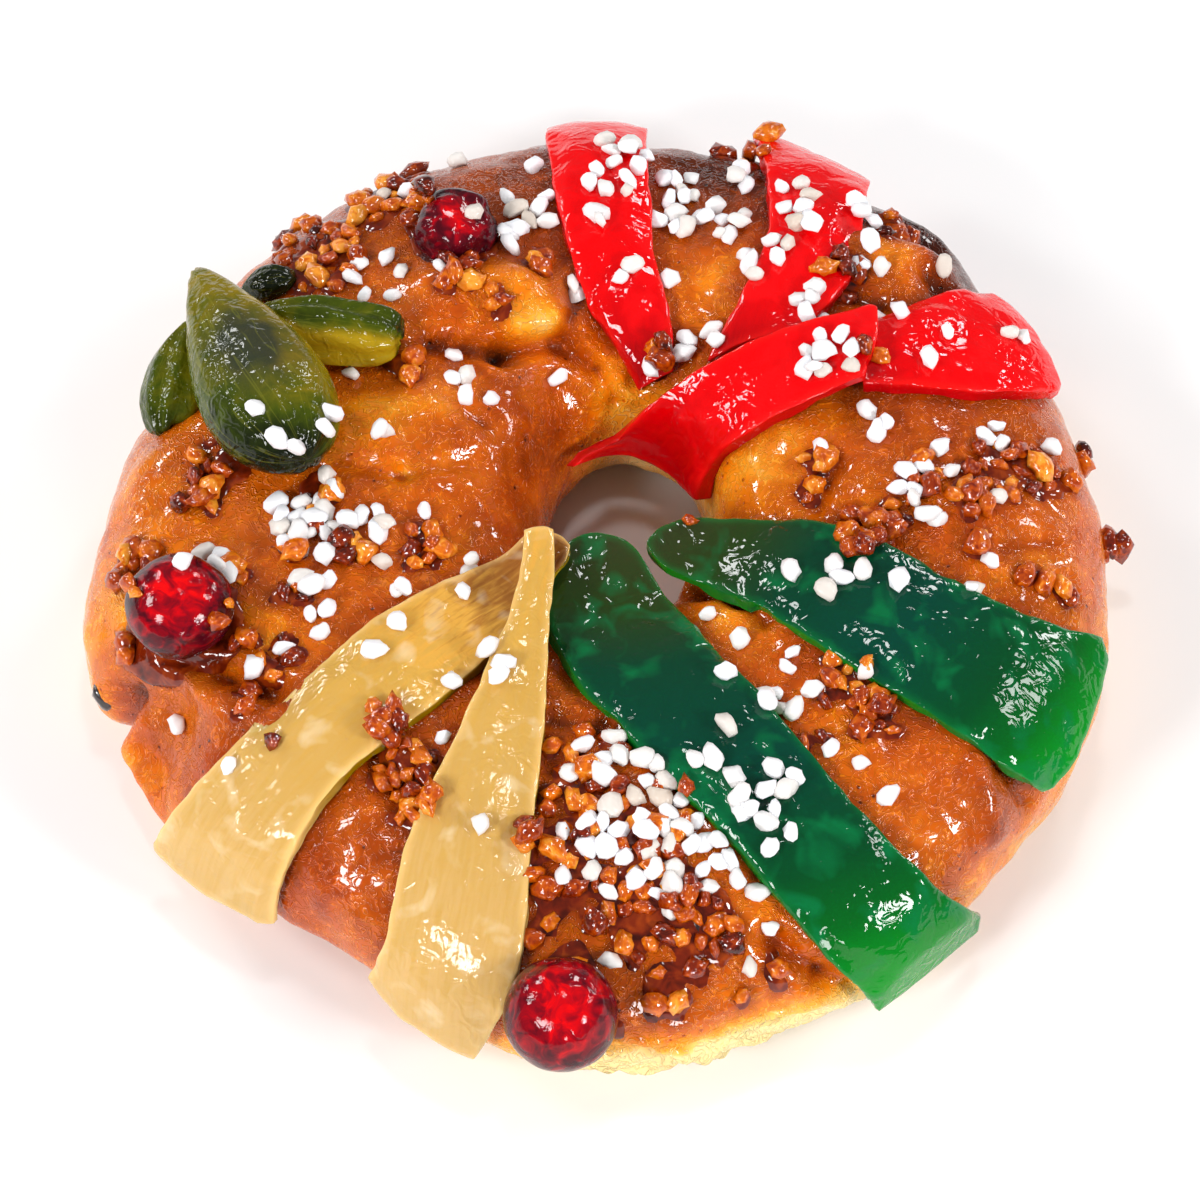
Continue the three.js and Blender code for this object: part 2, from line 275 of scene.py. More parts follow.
# Egg-washed sweet dough, baked and glazed with syrup: a thin glossy skin over a finely mottled brown crust
# that turns gold where it curves down and stays pale low on the sides and where lobes touched in the oven
crust = {
    "fineness": 3,  # times that each face is halved
    "mostTriangles": 190000,
    "lumps": ((26, 1.0), (11, 0.8), (4.5, 0.34), (2.4, 0.1)),  # size across and height, mm
    "flatFoot": (1, 8),  # mm of height over which the flat underside gives way to the uneven sides
    "foldDepth": 1.35,
    "foldWander": (0.5, 6),  # mm that folds stray to each side, and over what length
    "foldSwell": 0.42,  # of a crease's depth, how high the dough beside it stands
    # how much painted shade darkens the bottom of each crease
    "foldShade": 0.10,
    # Folds and ridges, from one place to another: width, rise, and how much less baked they are
    "folds": [
        ((-57, 13), (-43, 10), 2.6, -1.6, 0.14), ((-43, 10), (-27, 15), 2.6, -1.4, 0.14),
        ((-55, 22), (-36, 27), 6.0, 1.6, 0.13), ((-34, 29), (-24, 25), 2.5, -0.8, 0.05),
        ((-33, 61), (-19, 59), 7.5, 2.4, 0.06), ((-19, 58), (-9, 54), 6.0, 2.8, 0.08),
        ((-38, 45), (-22, 44), 2.6, -2.2, -0.08), ((-22, 44), (-8, 50), 2.2, -2.6, -0.10),
        ((-19, 50), (-13, 51), 3.0, 0.6, 0.22), ((-7, 54), (-4, 62), 2.0, -1.6, -0.10),
        ((-9, 48), (0, 45), 2.0, -1.6, -0.08), ((-2, 49), (2, 44), 2.0, 1.2, 0.05),
        ((0, 45), (4, 40), 1.8, -1.0, 0.0), ((8, 43), (12, 46), 1.7, -1.4, 0.0),
        ((56, 60), (64, 57), 2.8, -2.0, -0.12), ((60, 71), (72, 68), 6.0, 2.6, 0.24),
        ((66, 79), (78, 76), 2.4, -2.0, -0.10), ((74, 66), (80, 60), 2.4, -1.8, -0.08),
        ((-92, -33), (-80, -39), 2.2, -1.8, 0.03), ((-80, -39), (-69, -45), 2.6, -2.6, -0.04),
        ((-80, -33), (-68, -36), 6.0, -1.2, 0.14), ((-84, -44), (-70, -51), 5.0, 1.2, 0.0),
        ((-11, -52), (1, -54), 2.2, -1.2, -0.04), ((1, -54), (10, -59), 2.2, -1.0, -0.04),
        ((37, -99), (47, -103), 2.6, -1.8, -0.07), ((47, -103), (55, -103), 2.4, -1.6, -0.05),
        ((80, -62), (84, -71), 4.0, 1.8, -0.06), ((86, -58), (92, -62), 2.6, -1.2, -0.04),
        ((23, -13), (31, -19), 2.4, -2.2, -0.12), ((31, -19), (36, -27), 2.2, -1.2, -0.07),
        ((64, 8), (78, 3), 5.0, 0.9, 0.05), ((88, -8), (100, -4), 2.6, -0.9, -0.06),
        ((52, 12), (48, 2), 2.4, -1.1, -0.03), ((-100, 14), (-88, 30), 6.0, 1.0, 0.05),
        ((-58, -84), (-52, -89), 7.0, 1.6, 0.0), ((-66, -68), (-70, -80), 2.6, -1.8, 0.10),
        ((-48, -58), (-41, -71), 2.6, -1.4, 0.02), ((18, -2), (22, -10), 4.0, 1.6, 0.10),
    ],
    # Patches that are more baked (above 0) or less: place, size, amount
    "patches": [
        # back
        (70, 88, 20, 0.30), (84, 74, 16, 0.22), (40, 100, 20, 0.20), (24, 104, 14, 0.22),
        (-22, 100, 24, 0.14), (-20, 78, 12, 0.06), (-60, 96, 18, 0.06), (26, 62, 13, -0.10),
        (66, 70, 7, -0.12), (-15, 50, 6, -0.12),
        # round the hole
        (34, 16, 11, -0.25), (46, 22, 10, -0.12), (5, 38, 9, -0.20), (12, 44, 8, -0.14), (-12, 30, 9, 0.06),
        (20, -4, 8, -0.14), (30, -22, 9, -0.12), (-6, -46, 10, 0.04),
        # left
        (-45, 23, 9, -0.10), (-30, 10, 14, 0.03), (-70, -34, 6, -0.12), (-92, -24, 7, -0.16),
        (-104, -14, 13, -0.2), (-100, 10, 14, -0.07),
        # front
        (-54, -78, 18, 0.08), (44, -90, 20, -0.10), (52, -46, 18, -0.02), (84, -70, 9, 0.05),
        # right
        (98, -8, 14, -0.06), (60, 30, 16, 0.10), (84, 20, 14, 0.09),
    ],
    # How well it is baked, from 0, pale, to 1, near black, and what is added or taken off. The pairs are
    # where one look gives way to the next: mm of height, or the upward part of the direction that the
    # surface faces
    "crown": 0.58,
    "rim": {"amount": -0.17, "heights": (6, 30)},
    "steep": {"amount": -0.12, "facing": (0.05, 0.6)},
    # Wall of the hole: brown on the left, and pale round a direction in degrees
    "hole": {"amount": 0.12, "pale": -0.27, "towards": 50, "spread": 55, "reach": (22, 36),
             "heights": (30, 44)},
    "frontLeft": {"amount": 0.15, "heading": 238, "spread": 26, "heights": (14, 34)},
    "outside": (80, 95),  # mm from the middle, where the rim starts
}

# Clusters of chopped caramel nuts: x, y, reach, how many, and how much dried syrup lies round them
nutClusters = [
    (-60, 92, 16, 13, 0.5), (-63, 72, 12, 17, 0.5), (-50, 104, 9, 4, 0.5), (-48, 90, 8, 10, 0.3),
    (-75, 108, 3, 2, 0.2), (-40, 81, 4, 5, 0.3), (-31, 61, 5, 6, 0.2), (-22, 54, 2, 3, 0.7),
    (-43, 37, 4, 3, 0.4), (-84, 16, 4, 5, 0.4), (-87, 6, 5, 6, 0.5), (-80, 10, 3, 2, 0.3),
    (-61, 2, 6, 5, 0.7), (-101, -9, 5, 8, 0.3), (-99, -27, 3, 4, 0.3), (-78, -15, 2, 2, 0.2),
    (-78, -31, 4, 4, 0.2), (-66, -22, 3, 3, 0.4), (-66, -9, 2, 2, 0.2), (-53, -9, 3, 4, 0.3),
    (-38, -9, 5, 7, 0.3), (-67, -37, 5, 4, 0.5), (-76, -45, 5, 2, 0.3), (-45, -55, 4, 6, 0.4),
    (-40, -64, 6, 13, 0.8), (-38, -73, 4, 6, 0.7), (-14, -80, 3, 4, 0.2), (-2, -64, 10, 11, 0.3),
    (-4, -82, 12, 13, 0.4), (12, -76, 9, 9, 0.4), (10, -94, 11, 20, 0.8), (22, -98, 6, 8, 0.8),
    (-8, -98, 8, 3, 0.4), (16, -108, 6, 4, 0.4), (33, -103, 8, 2, 0.2), (52, -44, 6, 9, 0.4),
    (59, -52, 5, 7, 0.5), (45, -56, 3, 2, 0.3), (59, -6, 6, 11, 0.5), (66, 0, 4, 4, 0.4),
    (56, -11, 3, 3, 0.1), (88, 12, 7, 12, 0.4), (82, 4, 5, 5, 0.3), (99, 13, 6, 6, 0.5),
    (72, 9, 4, 4, 0.4), (47, 14, 3, 3, 0.3), (47, 6, 2, 2, 0.4), (83, -8, 2, 2, 0.3),
    (95, -14, 3, 2, 0.3), (102, -15, 2, 2, 0.2), (61, 38, 2, 2, 0.3), (56, 62, 5, 5, 0.5),
    (34, 108, 8, 7, 0.7), (113, 33, 2, 3, 0.4), (115, 8, 2, 3, 0.3), (20, 3, 3, 3, 0.2),
    (-14, 66, 3, 3, 0.3), (13, 46, 2, 3, 0.7), (70, 78, 6, 4, 0.5), (-68, -58, 0, 1, 0.0),
]
scatterRandom = random.Random(6)


def spread(clusters, apart):  # places within clusters, kept "apart" mm from each other as far as they can be
    tries = 9
    chosen = []
    for cluster in clusters:
        x, y, reach, count = (*cluster, 0, 1)[:4]
        for _ in range(count):
            best, bestGap = None, -1
            for _ in range(tries):
                turn = scatterRandom.uniform(0, math.tau)
                far = reach * math.sqrt(scatterRandom.random())
                place = (x + far * math.cos(turn), y + far * math.sin(turn))
                gap = min((math.dist(place, other) for other in chosen), default=99)
                if gap > bestGap:
                    best, bestGap = place, gap
                if gap > apart:
                    break
            chosen.append(best)
    return chosen


def crustSpot(x, y):  # the point of the CAD crust under a place
    hit = cadCrust.ray_cast(overhead(x, y), down)[0]
    return hit or cadCrust.find_nearest(overhead(x, y) - Vector((0, 0, 0.18)))[0]


breadPiece = newPiece("crust", cadCopy("bread"))
cadCrust = joinTrees([breadPiece])
addModifier(breadPiece, "SUBSURF", levels=crust["fineness"], render_levels=crust["fineness"])
applyModifiers(breadPiece)

points = readPoints(breadPiece.data)
normals = readNormals(breadPiece.data)
plan = (points - np.array(ringMiddle))[:, :2] / mm
height = (points[:, 2] - ringMiddle.z) / mm
free = smoothStep(height, *crust["flatFoot"])  # nothing moves on the flat underside
holeBox = [Vector(corner) for corner in frame["record"]["physics"]["openings"][0]["box_m"]]
holeMiddle = (np.array((holeBox[0] + holeBox[1]) / 2 - ringMiddle) / mm)[:2]


def nearPlace(place, reach):  # 1 at a place on the ring, fading out over its reach
    return np.exp(-((plan - place) ** 2).sum(1) / reach ** 2)


rise = np.zeros(len(points))
for seed, (size, tall) in enumerate(crust["lumps"]):
    rise += tall * unevenness(points, size, seed)
fromMiddle = np.linalg.norm(plan, axis=1)
fromHole = np.linalg.norm(plan - holeMiddle, axis=1)
heading = np.degrees(np.arctan2(plan[:, 1], plan[:, 0])) % 360
holeHeading = np.degrees(np.arctan2(*(plan - holeMiddle).T[::-1]))
outside = smoothStep(fromMiddle, *crust["outside"])

# The crown is well baked, the rim golden, and the foot and the walls of the hole pale
rim, steep, hole, frontLeft = (crust[name] for name in ("rim", "steep", "hole", "frontLeft"))
bake = crust["crown"] + rim["amount"] * fadeOut(height, *rim["heights"])
bake += steep["amount"] * fadeOut(normals[:, 2], *steep["facing"])
holeBake = hole["amount"] + hole["pale"] * bell(holeHeading - hole["towards"], hole["spread"])
bake += holeBake * fadeOut(fromHole, *hole["reach"]) * fadeOut(height, *hole["heights"])
darker = frontLeft["amount"] * bell(heading - frontLeft["heading"], frontLeft["spread"])
bake += darker * outside * fadeOut(height, *frontLeft["heights"])
stray, strayLength = crust["foldWander"]
for start, end, width, tall, paler in crust["folds"]:
    away = nearLine(points, crustSpot(*start), crustSpot(*end)) + stray * unevenness(points, strayLength, 15)
    rise += crust["foldDepth"] * tall * bell(away, width)
    bake -= paler * bell(away, width)
    if tall < 0:  # the dough swells on both sides of a crease, and the crease itself is darkened brown with painted shade
        rise -= crust["foldSwell"] * tall * bell(away - 2.3 * width, 1.3 * width)
        bake += crust["foldShade"] * bell(away, 0.5 * width)
for x, y, size, amount in crust["patches"]:
    bake += amount * nearPlace((x, y), size)

# Front side: the dough burst along its foot, in ragged shelves, and shows raw and pale below
burstFoot = {
    "middle": 20, "spread": 32, "behind": -60,  # mm along x, and the mm of y that it stays in front of
    "heights": (18, 27),
    "shelves": ((8, 2.7, 2.4), (3.2, 1.8, 3)),  # size and depth in mm, and how many times wider than tall
    "drawnIn": 0.6,  # mm
    "golden": 0.24, "raw": 0.76, "rawHeights": (13, 21),
}
front = bell(plan[:, 0] - burstFoot["middle"], burstFoot["spread"]) * (plan[:, 1] < burstFoot["behind"])
front *= fadeOut(height, *burstFoot["heights"])
shelves = sum(deep * unevenness(points * (1, 1, wide), size, 21 + i)
              for i, (size, deep, wide) in enumerate(burstFoot["shelves"]))
rise += front * (shelves - burstFoot["drawnIn"])
bake -= (burstFoot["golden"] + burstFoot["raw"] * fadeOut(height, *burstFoot["rawHeights"])) * front

# Left rim: the dough tore, and its upper lobe drew back from a lower slab that stands out. Headings and their
# spreads are degrees round the ring
leftTear = {
    "depth": 6.5,  # mm that the lobe drew back
    "lobe": {"heading": 206.5, "spread": 5.5, "reach": (92, 106), "heights": (12, 18)},
    "notch": {"heading": 198.5, "spread": 1.7, "heights": (24, 32)},
    # Painted shade darkens the notch and the low face of the lobe where it drew back
    "notchShade": 0.3,
    "lobeShade": {"amount": 0.12, "heights": (18, 26)},
    "slabBrown": {"amount": 0.12, "heading": 206.5, "spread": 5, "heights": (12, 17)},
    "slabPale": {"amount": -0.32, "heading": 209, "spread": 6, "heights": (4, 9)},
}
lobe, notched = leftTear["lobe"], leftTear["notch"]
tear = smoothStep(fromMiddle, *lobe["reach"]) * bell(heading - lobe["heading"], lobe["spread"])
tear *= smoothStep(height, *lobe["heights"])
notch = outside * bell(heading - notched["heading"], notched["spread"]) * fadeOut(height, *notched["heights"])
drawnBack = leftTear["depth"] * tear + leftTear["depth"] * notch
lobeShade = leftTear["lobeShade"]
# painted shade in the notch and low on the drawn-back lobe
bake += leftTear["notchShade"] * notch + lobeShade["amount"] * tear * fadeOut(height, *lobeShade["heights"])
for slab in (leftTear["slabBrown"], leftTear["slabPale"]):
    shade = slab["amount"] * bell(heading - slab["heading"], slab["spread"])
    bake += shade * outside * fadeOut(height, *slab["heights"])
points += normals * (rise * free * mm)[:, None]
writePoints(breadPiece.data, points)
bedTree = joinTrees([breadPiece])  # what the strips were laid on
# Front left, the bulges hang over a foot that is drawn in
tuckedFoot = {"depth": 7.5, "heading": 241, "spread": 22, "heights": (0, 17)}
tuck = tuckedFoot["depth"] * bell(heading - tuckedFoot["heading"], tuckedFoot["spread"]) * outside
tuck = tuck * fadeOut(height, *tuckedFoot["heights"]) + drawnBack
inward = (points - np.array(ringMiddle)) * (1, 1, 0)
points -= inward / np.linalg.norm(inward, axis=1)[:, None] * (tuck * mm)[:, None]
points[:, 2] = np.maximum(points[:, 2], ringMiddle.z)
writePoints(breadPiece.data, points)

# Syrup lies thick between the nuts and round the foot of each cherry
wettingAndShade = {
    "apart": 5.0,  # mm between nuts
    "cluster": 0.7, "clusterReach": 0.8, "clusterPast": 1.0,  # share of a cluster's reach, and mm past it
    "nut": 0.85, "nutReach": 3.7,
    "cherry": 0.9, "cherryReach": 1.6,
    "facing": (0.1, 0.5),  # it ran off the steep sides
    "patchy": (0.8, 0.6, 5),  # middle, swing and size in mm of the unevenness
}
nutPlaces = spread(nutClusters, wettingAndShade["apart"])
syrup = np.zeros(len(points))
for x, y, reach, count, wet in nutClusters:
    syrup += wet * nearPlace((x, y), reach * wettingAndShade["clusterReach"] + wettingAndShade["clusterPast"])
# Right round each nut the crust is darkened further: syrup, and painted contact shade
nutSyrupAndShade = np.zeros(len(points))
for place in nutPlaces:
    nutSyrupAndShade = np.maximum(nutSyrupAndShade, nearPlace(place, wettingAndShade["nutReach"]))
syrup = wettingAndShade["cluster"] * syrup + wettingAndShade["nut"] * nutSyrupAndShade
for node in ("cherry_left", "cherry_back", "cherry_front"):
    low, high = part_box(node)
    middle = np.array((low + high) / 2 - ringMiddle)[:2] / mm
    reach = (high.x - low.x) / 2 / mm
    past = np.maximum(np.linalg.norm(plan - middle, axis=1) - reach, 0)
    syrup += wettingAndShade["cherry"] * bell(past, wettingAndShade["cherryReach"])
usual, swing, size = wettingAndShade["patchy"]
syrup *= smoothStep(normals[:, 2], *wettingAndShade["facing"]) * (usual + swing * unevenness(points, size, 31))
writeValue(breadPiece.data, "bake", bake + 0.04 * unevenness(points, 14, 41))
writeValue(breadPiece.data, "syrup", np.clip(syrup, 0, 1.2))
triangles = sum(len(p.vertices) - 2 for p in breadPiece.data.polygons)
addModifier(breadPiece, "DECIMATE", ratio=min(1, crust["mostTriangles"] / triangles))
applyModifiers(breadPiece)
print("crust shaped")

strips = {
    "fineness": 3,
    "cutAngle": 48,  # degrees between two faces, past which the edge is one that the knife left
    "edgeCrease": 0.92,
    "edgeWidth": 1.2,  # mm
    "waves": ((11, 0.5), (4.5, 0.2)),  # size and height of the unevenness, mm
    "raggedEdge": (0.3, 4),  # mm that the cut edges wander, and over what length
    # What is lower than "below" over the crust and nearer than "near" lies down into it, fully "over" mm
    # further
    "lieDown": {"below": 3.2, "near": 4.5, "over": 2.4, "sunk": 0.4},
    "outerPart": 0.8,  # of a strip's length, where its outer end starts
    "overhangPart": (0.6, 1.0), "sinkPart": (0.72, 0.95),
    # mm that the outer ends, being stiff, reach past the curve of the crust
    "overhang": {
        "cream_strip_left": 2.6, "cream_strip_front": 2.6, "green_strip_front": 3.4, "green_strip_right": 1.8,
        "red_strip_right_back": 2.4, "red_strip_back": 1.2, "red_strip_right_outer": 1.2,
    },
    # mm that the outer end may stand past its corners before the knife cut it off
    "endBulge": {"green_strip_front": 0.8, "red_strip_right_inner": 1.5},
    "cornerRound": {"green": 1.5, "red": 1.0, "cream": 0.4},  # mm cut off each outer corner
    "endSink": {"red_strip_right_inner": 1.5},  # mm that the outer end presses into the strip below it
    "innerTone": {"cream_strip_front": 0.4},  # where a strip's colour run starts, if its inner end is clean
    # Cut sides are darker with painted shade, where they face sideways and up to where the outer end droops
    "side": {"facing": (0.0, 0.55), "droopPart": (0.7, 0.9), "droopLess": 0.85},
}


def makeStrip(node, order):
    bm = cadCopy(node)
    crease = bm.edges.layers.float.get("crease_edge") or bm.edges.layers.float.new("crease_edge")
    cutAngle = math.radians(strips["cutAngle"])
    sharp = [e for e in bm.edges if e.is_manifold and e.calc_face_angle() > cutAngle]
    outline, steps = [], 8
    for edge in sharp:
        edge[crease] = strips["edgeCrease"]
        a, b = edge.verts[0].co, edge.verts[1].co
        outline += [a.lerp(b, i / steps) for i in range(steps + 1)]
    piece = newPiece(node + "_fruit", bm)
    addModifier(piece, "SUBSURF", levels=strips["fineness"], render_levels=strips["fineness"])
    applyModifiers(piece)

    points = readPoints(piece.data)
    normals = readNormals(piece.data)
    # A lighter rim is painted along the cut edges for the glow of light through the thin fruit
    edge = bell(gapTo(outline, points), strips["edgeWidth"])
    for seed, (size, tall) in enumerate(strips["waves"]):
        points += normals * (tall * mm * unevenness(points, size, order + seed * 5))[:, None]
    wander, wanderLength = strips["raggedEdge"]
    for axis in range(2):
        points[:, axis] += wander * mm * edge * unevenness(points, wanderLength, 60 + order + axis)
    lieDown = strips["lieDown"]
    for i, point in enumerate(points):
        near, out, _, away = bedTree.find_nearest(Vector(point))
        above = (Vector(point) - near).dot(out) / mm
        if above < lieDown["below"] and away < lieDown["near"] * mm:
            share = min(1.0, max(0.0, (lieDown["below"] - above) / lieDown["over"]))
            points[i] = Vector(point) - out * (share * (above + lieDown["sunk"]) * mm)
    plan = (points - np.array(ringMiddle))[:, :2] / mm
    reach = np.linalg.norm(plan - holeMiddle, axis=1)
    outward = (reach - reach.min()) / (reach.max() - reach.min())
    ranked = np.argsort(reach)
    tenth = len(ranked) // 10
    grain = plan[ranked[-tenth:]].mean(0) - plan[ranked[:tenth]].mean(0)
    grain /= np.linalg.norm(grain)
    overhang = strips["overhang"].get(node, 0) * mm * smoothStep(outward, *strips["overhangPart"])
    points[:, :2] += overhang[:, None] * grain

    # The knife cut the outer end straight from corner to corner, and the corners are a little round
    crossGrain = np.array((-grain[1], grain[0]))
    along = (points - np.array(ringMiddle))[:, :2] @ grain / mm
    across = (points - np.array(ringMiddle))[:, :2] @ crossGrain / mm
    isOuter = outward > strips["outerPart"]
    outer = np.flatnonzero(isOuter)
    cornerA, cornerB = (outer[np.argmax((along + side * across)[outer])] for side in (-1, 1))
    share = (across - across[cornerA]) / (across[cornerB] - across[cornerA])
    uncut = 99  # mm, more than any end stands out
    cutLine = along[cornerA] + (along[cornerB] - along[cornerA]) * share + strips["endBulge"].get(node, uncut)
    points[:, :2] -= (0.9 * np.maximum(along - cutLine, 0) * mm)[:, None] * grain
    for side in (-1, 1):
        diagonal = (grain + side * crossGrain) / math.sqrt(2)
        reachOut = (points - np.array(ringMiddle))[:, :2] @ diagonal / mm
        cornerRound = strips["cornerRound"][node.split("_")[0]]
        past = np.maximum(reachOut - reachOut[outer].max() + cornerRound, 0) * isOuter
        points[:, :2] -= (0.85 * past * mm)[:, None] * diagonal
    points[:, 2] -= strips["endSink"].get(node, 0) * mm * smoothStep(outward, *strips["sinkPart"])
    writePoints(piece.data, points)
    start = strips["innerTone"].get(node, 0.0)
    writeValue(piece.data, "outward", start + (1 - start) * outward)
    writeValue(piece.data, "edge", edge)
    writeValue(piece.data, "alongGrain", plan @ grain)
    writeValue(piece.data, "acrossGrain", plan @ crossGrain)
    side = strips["side"]
    cutSide = fadeOut(readNormals(piece.data)[:, 2], *side["facing"])
    writeValue(piece.data, "cutSide",
        cutSide * (1 - side["droopLess"] * smoothStep(outward, *side["droopPart"])))
    return piece


# Candied fruit, boiled in syrup until clear, dyed and glazed: light sinks in and glows at the thin edges, a
# glow that is painted in as a lighter edge colour
fibre = {"across": 0.75, "along": 0.14}  # noise steps a mm: a fibre is drawn 1.3 mm wide and 7 mm long


def candiedFruit(name, look):
    material, tree = newMaterial(name)
    cloud = addNode(tree, "TexNoise",
        {"Scale": 1 / (look["cloudSize"] * mm), "Detail": 2.5, "Distortion": 0.5})
    cloudy = addNode(tree, "MapRange",
        {"From Min": look["cloudFrom"], "From Max": look["cloudFrom"] + 0.16,
         "To Max": look["cloudAmount"]}, {"Value": cloud})
    along = addNode(tree, "Math", {"operation": "MULTIPLY", "Value_001": fibre["along"]},
        {"Value": "alongGrain"})
    across = addNode(tree, "Math", {"operation": "MULTIPLY", "Value_001": fibre["across"]},
        {"Value": "acrossGrain"})
    grainPlace = addNode(tree, "CombineXYZ", {}, {"X": along, "Y": across})
    grain = addNode(tree, "TexNoise", {"Scale": 1.0, "Detail": 3.0, "Distortion": 0.4},
        {"Vector": grainPlace})
    dimple = addNode(tree, "TexNoise", {"Scale": 1 / (3.6 * mm), "Detail": 0.8, "Distortion": 1.5})

    shift = addNode(tree, "MapRange",
        {"From Min": 0.3, "From Max": 0.7, "To Min": -look["streaks"], "To Max": look["streaks"]},
        {"Value": grain})
    run = addNode(tree, "Math", {"operation": "ADD"}, {"Value": "outward", "Value_001": shift})
    flesh = addNode(tree, "ValToRGB", {"stops": look["outward"]}, {"Fac": run})
    patch = addNode(tree, "Mix", {"data_type": "RGBA", "B_Color": tint(look["cloud"])},
        {"Factor_Float": cloudy, "A_Color": flesh})
    # painted glow along the thin cut edges
    thin = addNode(tree, "Math", {"operation": "MULTIPLY", "Value_001": look["edgeGlowAmount"]},
        {"Value": "edge"})
    edged = addNode(tree, "Mix", {"data_type": "RGBA", "B_Color": tint(look["edge"])},
        {"Factor_Float": thin, "A_Color": patch})
    # painted shade on the cut sides
    sideShaded = addNode(tree, "Mix", {"data_type": "RGBA", "B_Color": tint(look["side"])},
        {"Factor_Float": "cutSide", "A_Color": edged})
    fibres = addNode(tree, "Bump", {"Strength": look["fibres"], "Distance": 0.5 * mm}, {"Height": grain})
    skin = addNode(tree, "Bump", {"Strength": look["bump"], "Distance": 0.5 * mm},
        {"Height": dimple, "Normal": fibres})
    shader = addNode(tree, "BsdfPrincipled",
        {"Roughness": 0.5, "Specular IOR Level": 0.0, "Subsurface Weight": look["glow"],
         "Subsurface Scale": 0.003, "Subsurface Radius": look["radius"], "Coat Weight": 1.0,
         "Coat Roughness": 0.05, "Coat IOR": 1.38}, {"Base Color": sideShaded, "Normal": skin,
         "Coat Normal": skin})
    addNode(tree, "OutputMaterial", links={"Surface": shader})
    return material


# "outward" is the run of colours from the inner end to the outer one; sizes are mm
# "edge" is the colour of the painted glow at the thin cut edges, and "side" that of the painted shade on the
# cut sides
fruitLooks = {
    "redFruit": {
        "outward": [(0.0, "#960006"), (0.12, "#C40006"), (0.3, "#E20005"), (1.0, "#EA0007")],
        "cloud": "#F00A10", "cloudSize": 9, "cloudFrom": 0.5, "cloudAmount": 0.7,
        "edge": "#FA2018", "edgeGlowAmount": 0.4, "side": "#B80008",
        "bump": 0.62, "fibres": 0.1, "streaks": 0.03, "glow": 0.12, "radius": (1.0, 0.03, 0.03),
    },
    "greenFruit": {
        "outward": [(0.0, "#30351A"), (0.16, "#243C12"), (0.32, "#043C26"), (0.6, "#003E2E"),
                    (0.8, "#00441E"), (0.9, "#005C18"), (1.0, "#028C1C")],
        "cloud": "#04703C", "cloudSize": 10, "cloudFrom": 0.52, "cloudAmount": 0.7,
        "edge": "#067834", "edgeGlowAmount": 0.4, "side": "#067A18",
        "bump": 0.6, "fibres": 0.0, "streaks": 0.0, "glow": 0.15, "radius": (0.05, 1.0, 0.2),
    },
    "creamFruit": {
        "outward": [(0.0, "#8E5220"), (0.15, "#A86C2C"), (0.32, "#DAA244"), (0.5, "#CC9E48"),
                    (0.8, "#CAA056"), (1.0, "#D0A868")],
        "cloud": "#EEDCB8", "cloudSize": 8, "cloudFrom": 0.56, "cloudAmount": 0.4,
        "edge": "#F6CC82", "edgeGlowAmount": 0.6, "side": "#8A6C00",
        "bump": 0.58, "fibres": 0.2, "streaks": 0.1, "glow": 0.35, "radius": (1.0, 0.65, 0.25),
    },
}
fruitMaterials = {name: candiedFruit(name, look) for name, look in fruitLooks.items()}
stripNodes = sorted(n for n in frame["nodes"] if "strip" in n)
stripPieces = []
for order, node in enumerate(stripNodes):
    dye = node.split("_")[0]
    stripPieces.append(makeStrip(node, order))
    finishPiece(stripPieces[-1], fruitMaterials[dye + "Fruit"], dye + "_fruit", node)

# Beside each strip the crust is darker: syrup pooled there, and painted contact shade
stripPoints = [v.co for piece in stripPieces for v in piece.data.vertices]
dampShadeWidth = 2.4  # mm
writeValue(breadPiece.data, "damp", bell(gapTo(stripPoints, readPoints(breadPiece.data)), dampShadeWidth))

# Egg-washed sweet dough under syrup: a clear, glassy skin over the baked colour
glazedCrust, tree = newMaterial("glazedCrust")
# Mottling 9 mm across, the curly threads of the skin, blushes 24 mm across and pores 3.4 mm apart. The
# threads are drawn 2.6 mm apart, coarser than they are, so that they show
mottle = addNode(tree, "TexNoise", {"Scale": 1 / (9 * mm), "Detail": 2.6, "Distortion": 0.8})
threads = addNode(tree, "TexNoise", {"Scale": 1 / (2.6 * mm), "Detail": 0.6, "Distortion": 2.2})
threadLine = addNode(tree, "Math", {"operation": "SUBTRACT", "Value_001": 0.5}, {"Value": threads})
threadAway = addNode(tree, "Math", {"operation": "ABSOLUTE"}, {"Value": threadLine})
threadCrest = addNode(tree, "MapRange",
    {"From Min": 0.0, "From Max": 0.09, "To Min": 1.0, "To Max": 0.0, "interpolation_type": "SMOOTHSTEP"},
    {"Value": threadAway})
blush = addNode(tree, "TexNoise", {"Scale": 1 / (24 * mm), "Detail": 2.0, "Distortion": 0.5})
pores = addNode(tree, "TexVoronoi", {"Scale": 1 / (3.4 * mm), "Randomness": 1.0})
poreSpot = addNode(tree, "MapRange", {"From Min": 0.06, "From Max": 0.15, "To Min": 1.0, "To Max": 0.0},
    {"Value": pores})
poreWhere = addNode(tree, "MapRange", {"From Min": 0.50, "From Max": 0.60}, {"Value": mottle})
poreDark = addNode(tree, "Math", {"operation": "MULTIPLY"}, {"Value": poreSpot, "Value_001": poreWhere})

# How baked it looks: its own value, shifted by all of these, chooses the colour
mottleShift = addNode(tree, "MapRange",
    {"From Min": 0.3, "From Max": 0.7, "To Min": -0.075, "To Max": 0.075}, {"Value": mottle})
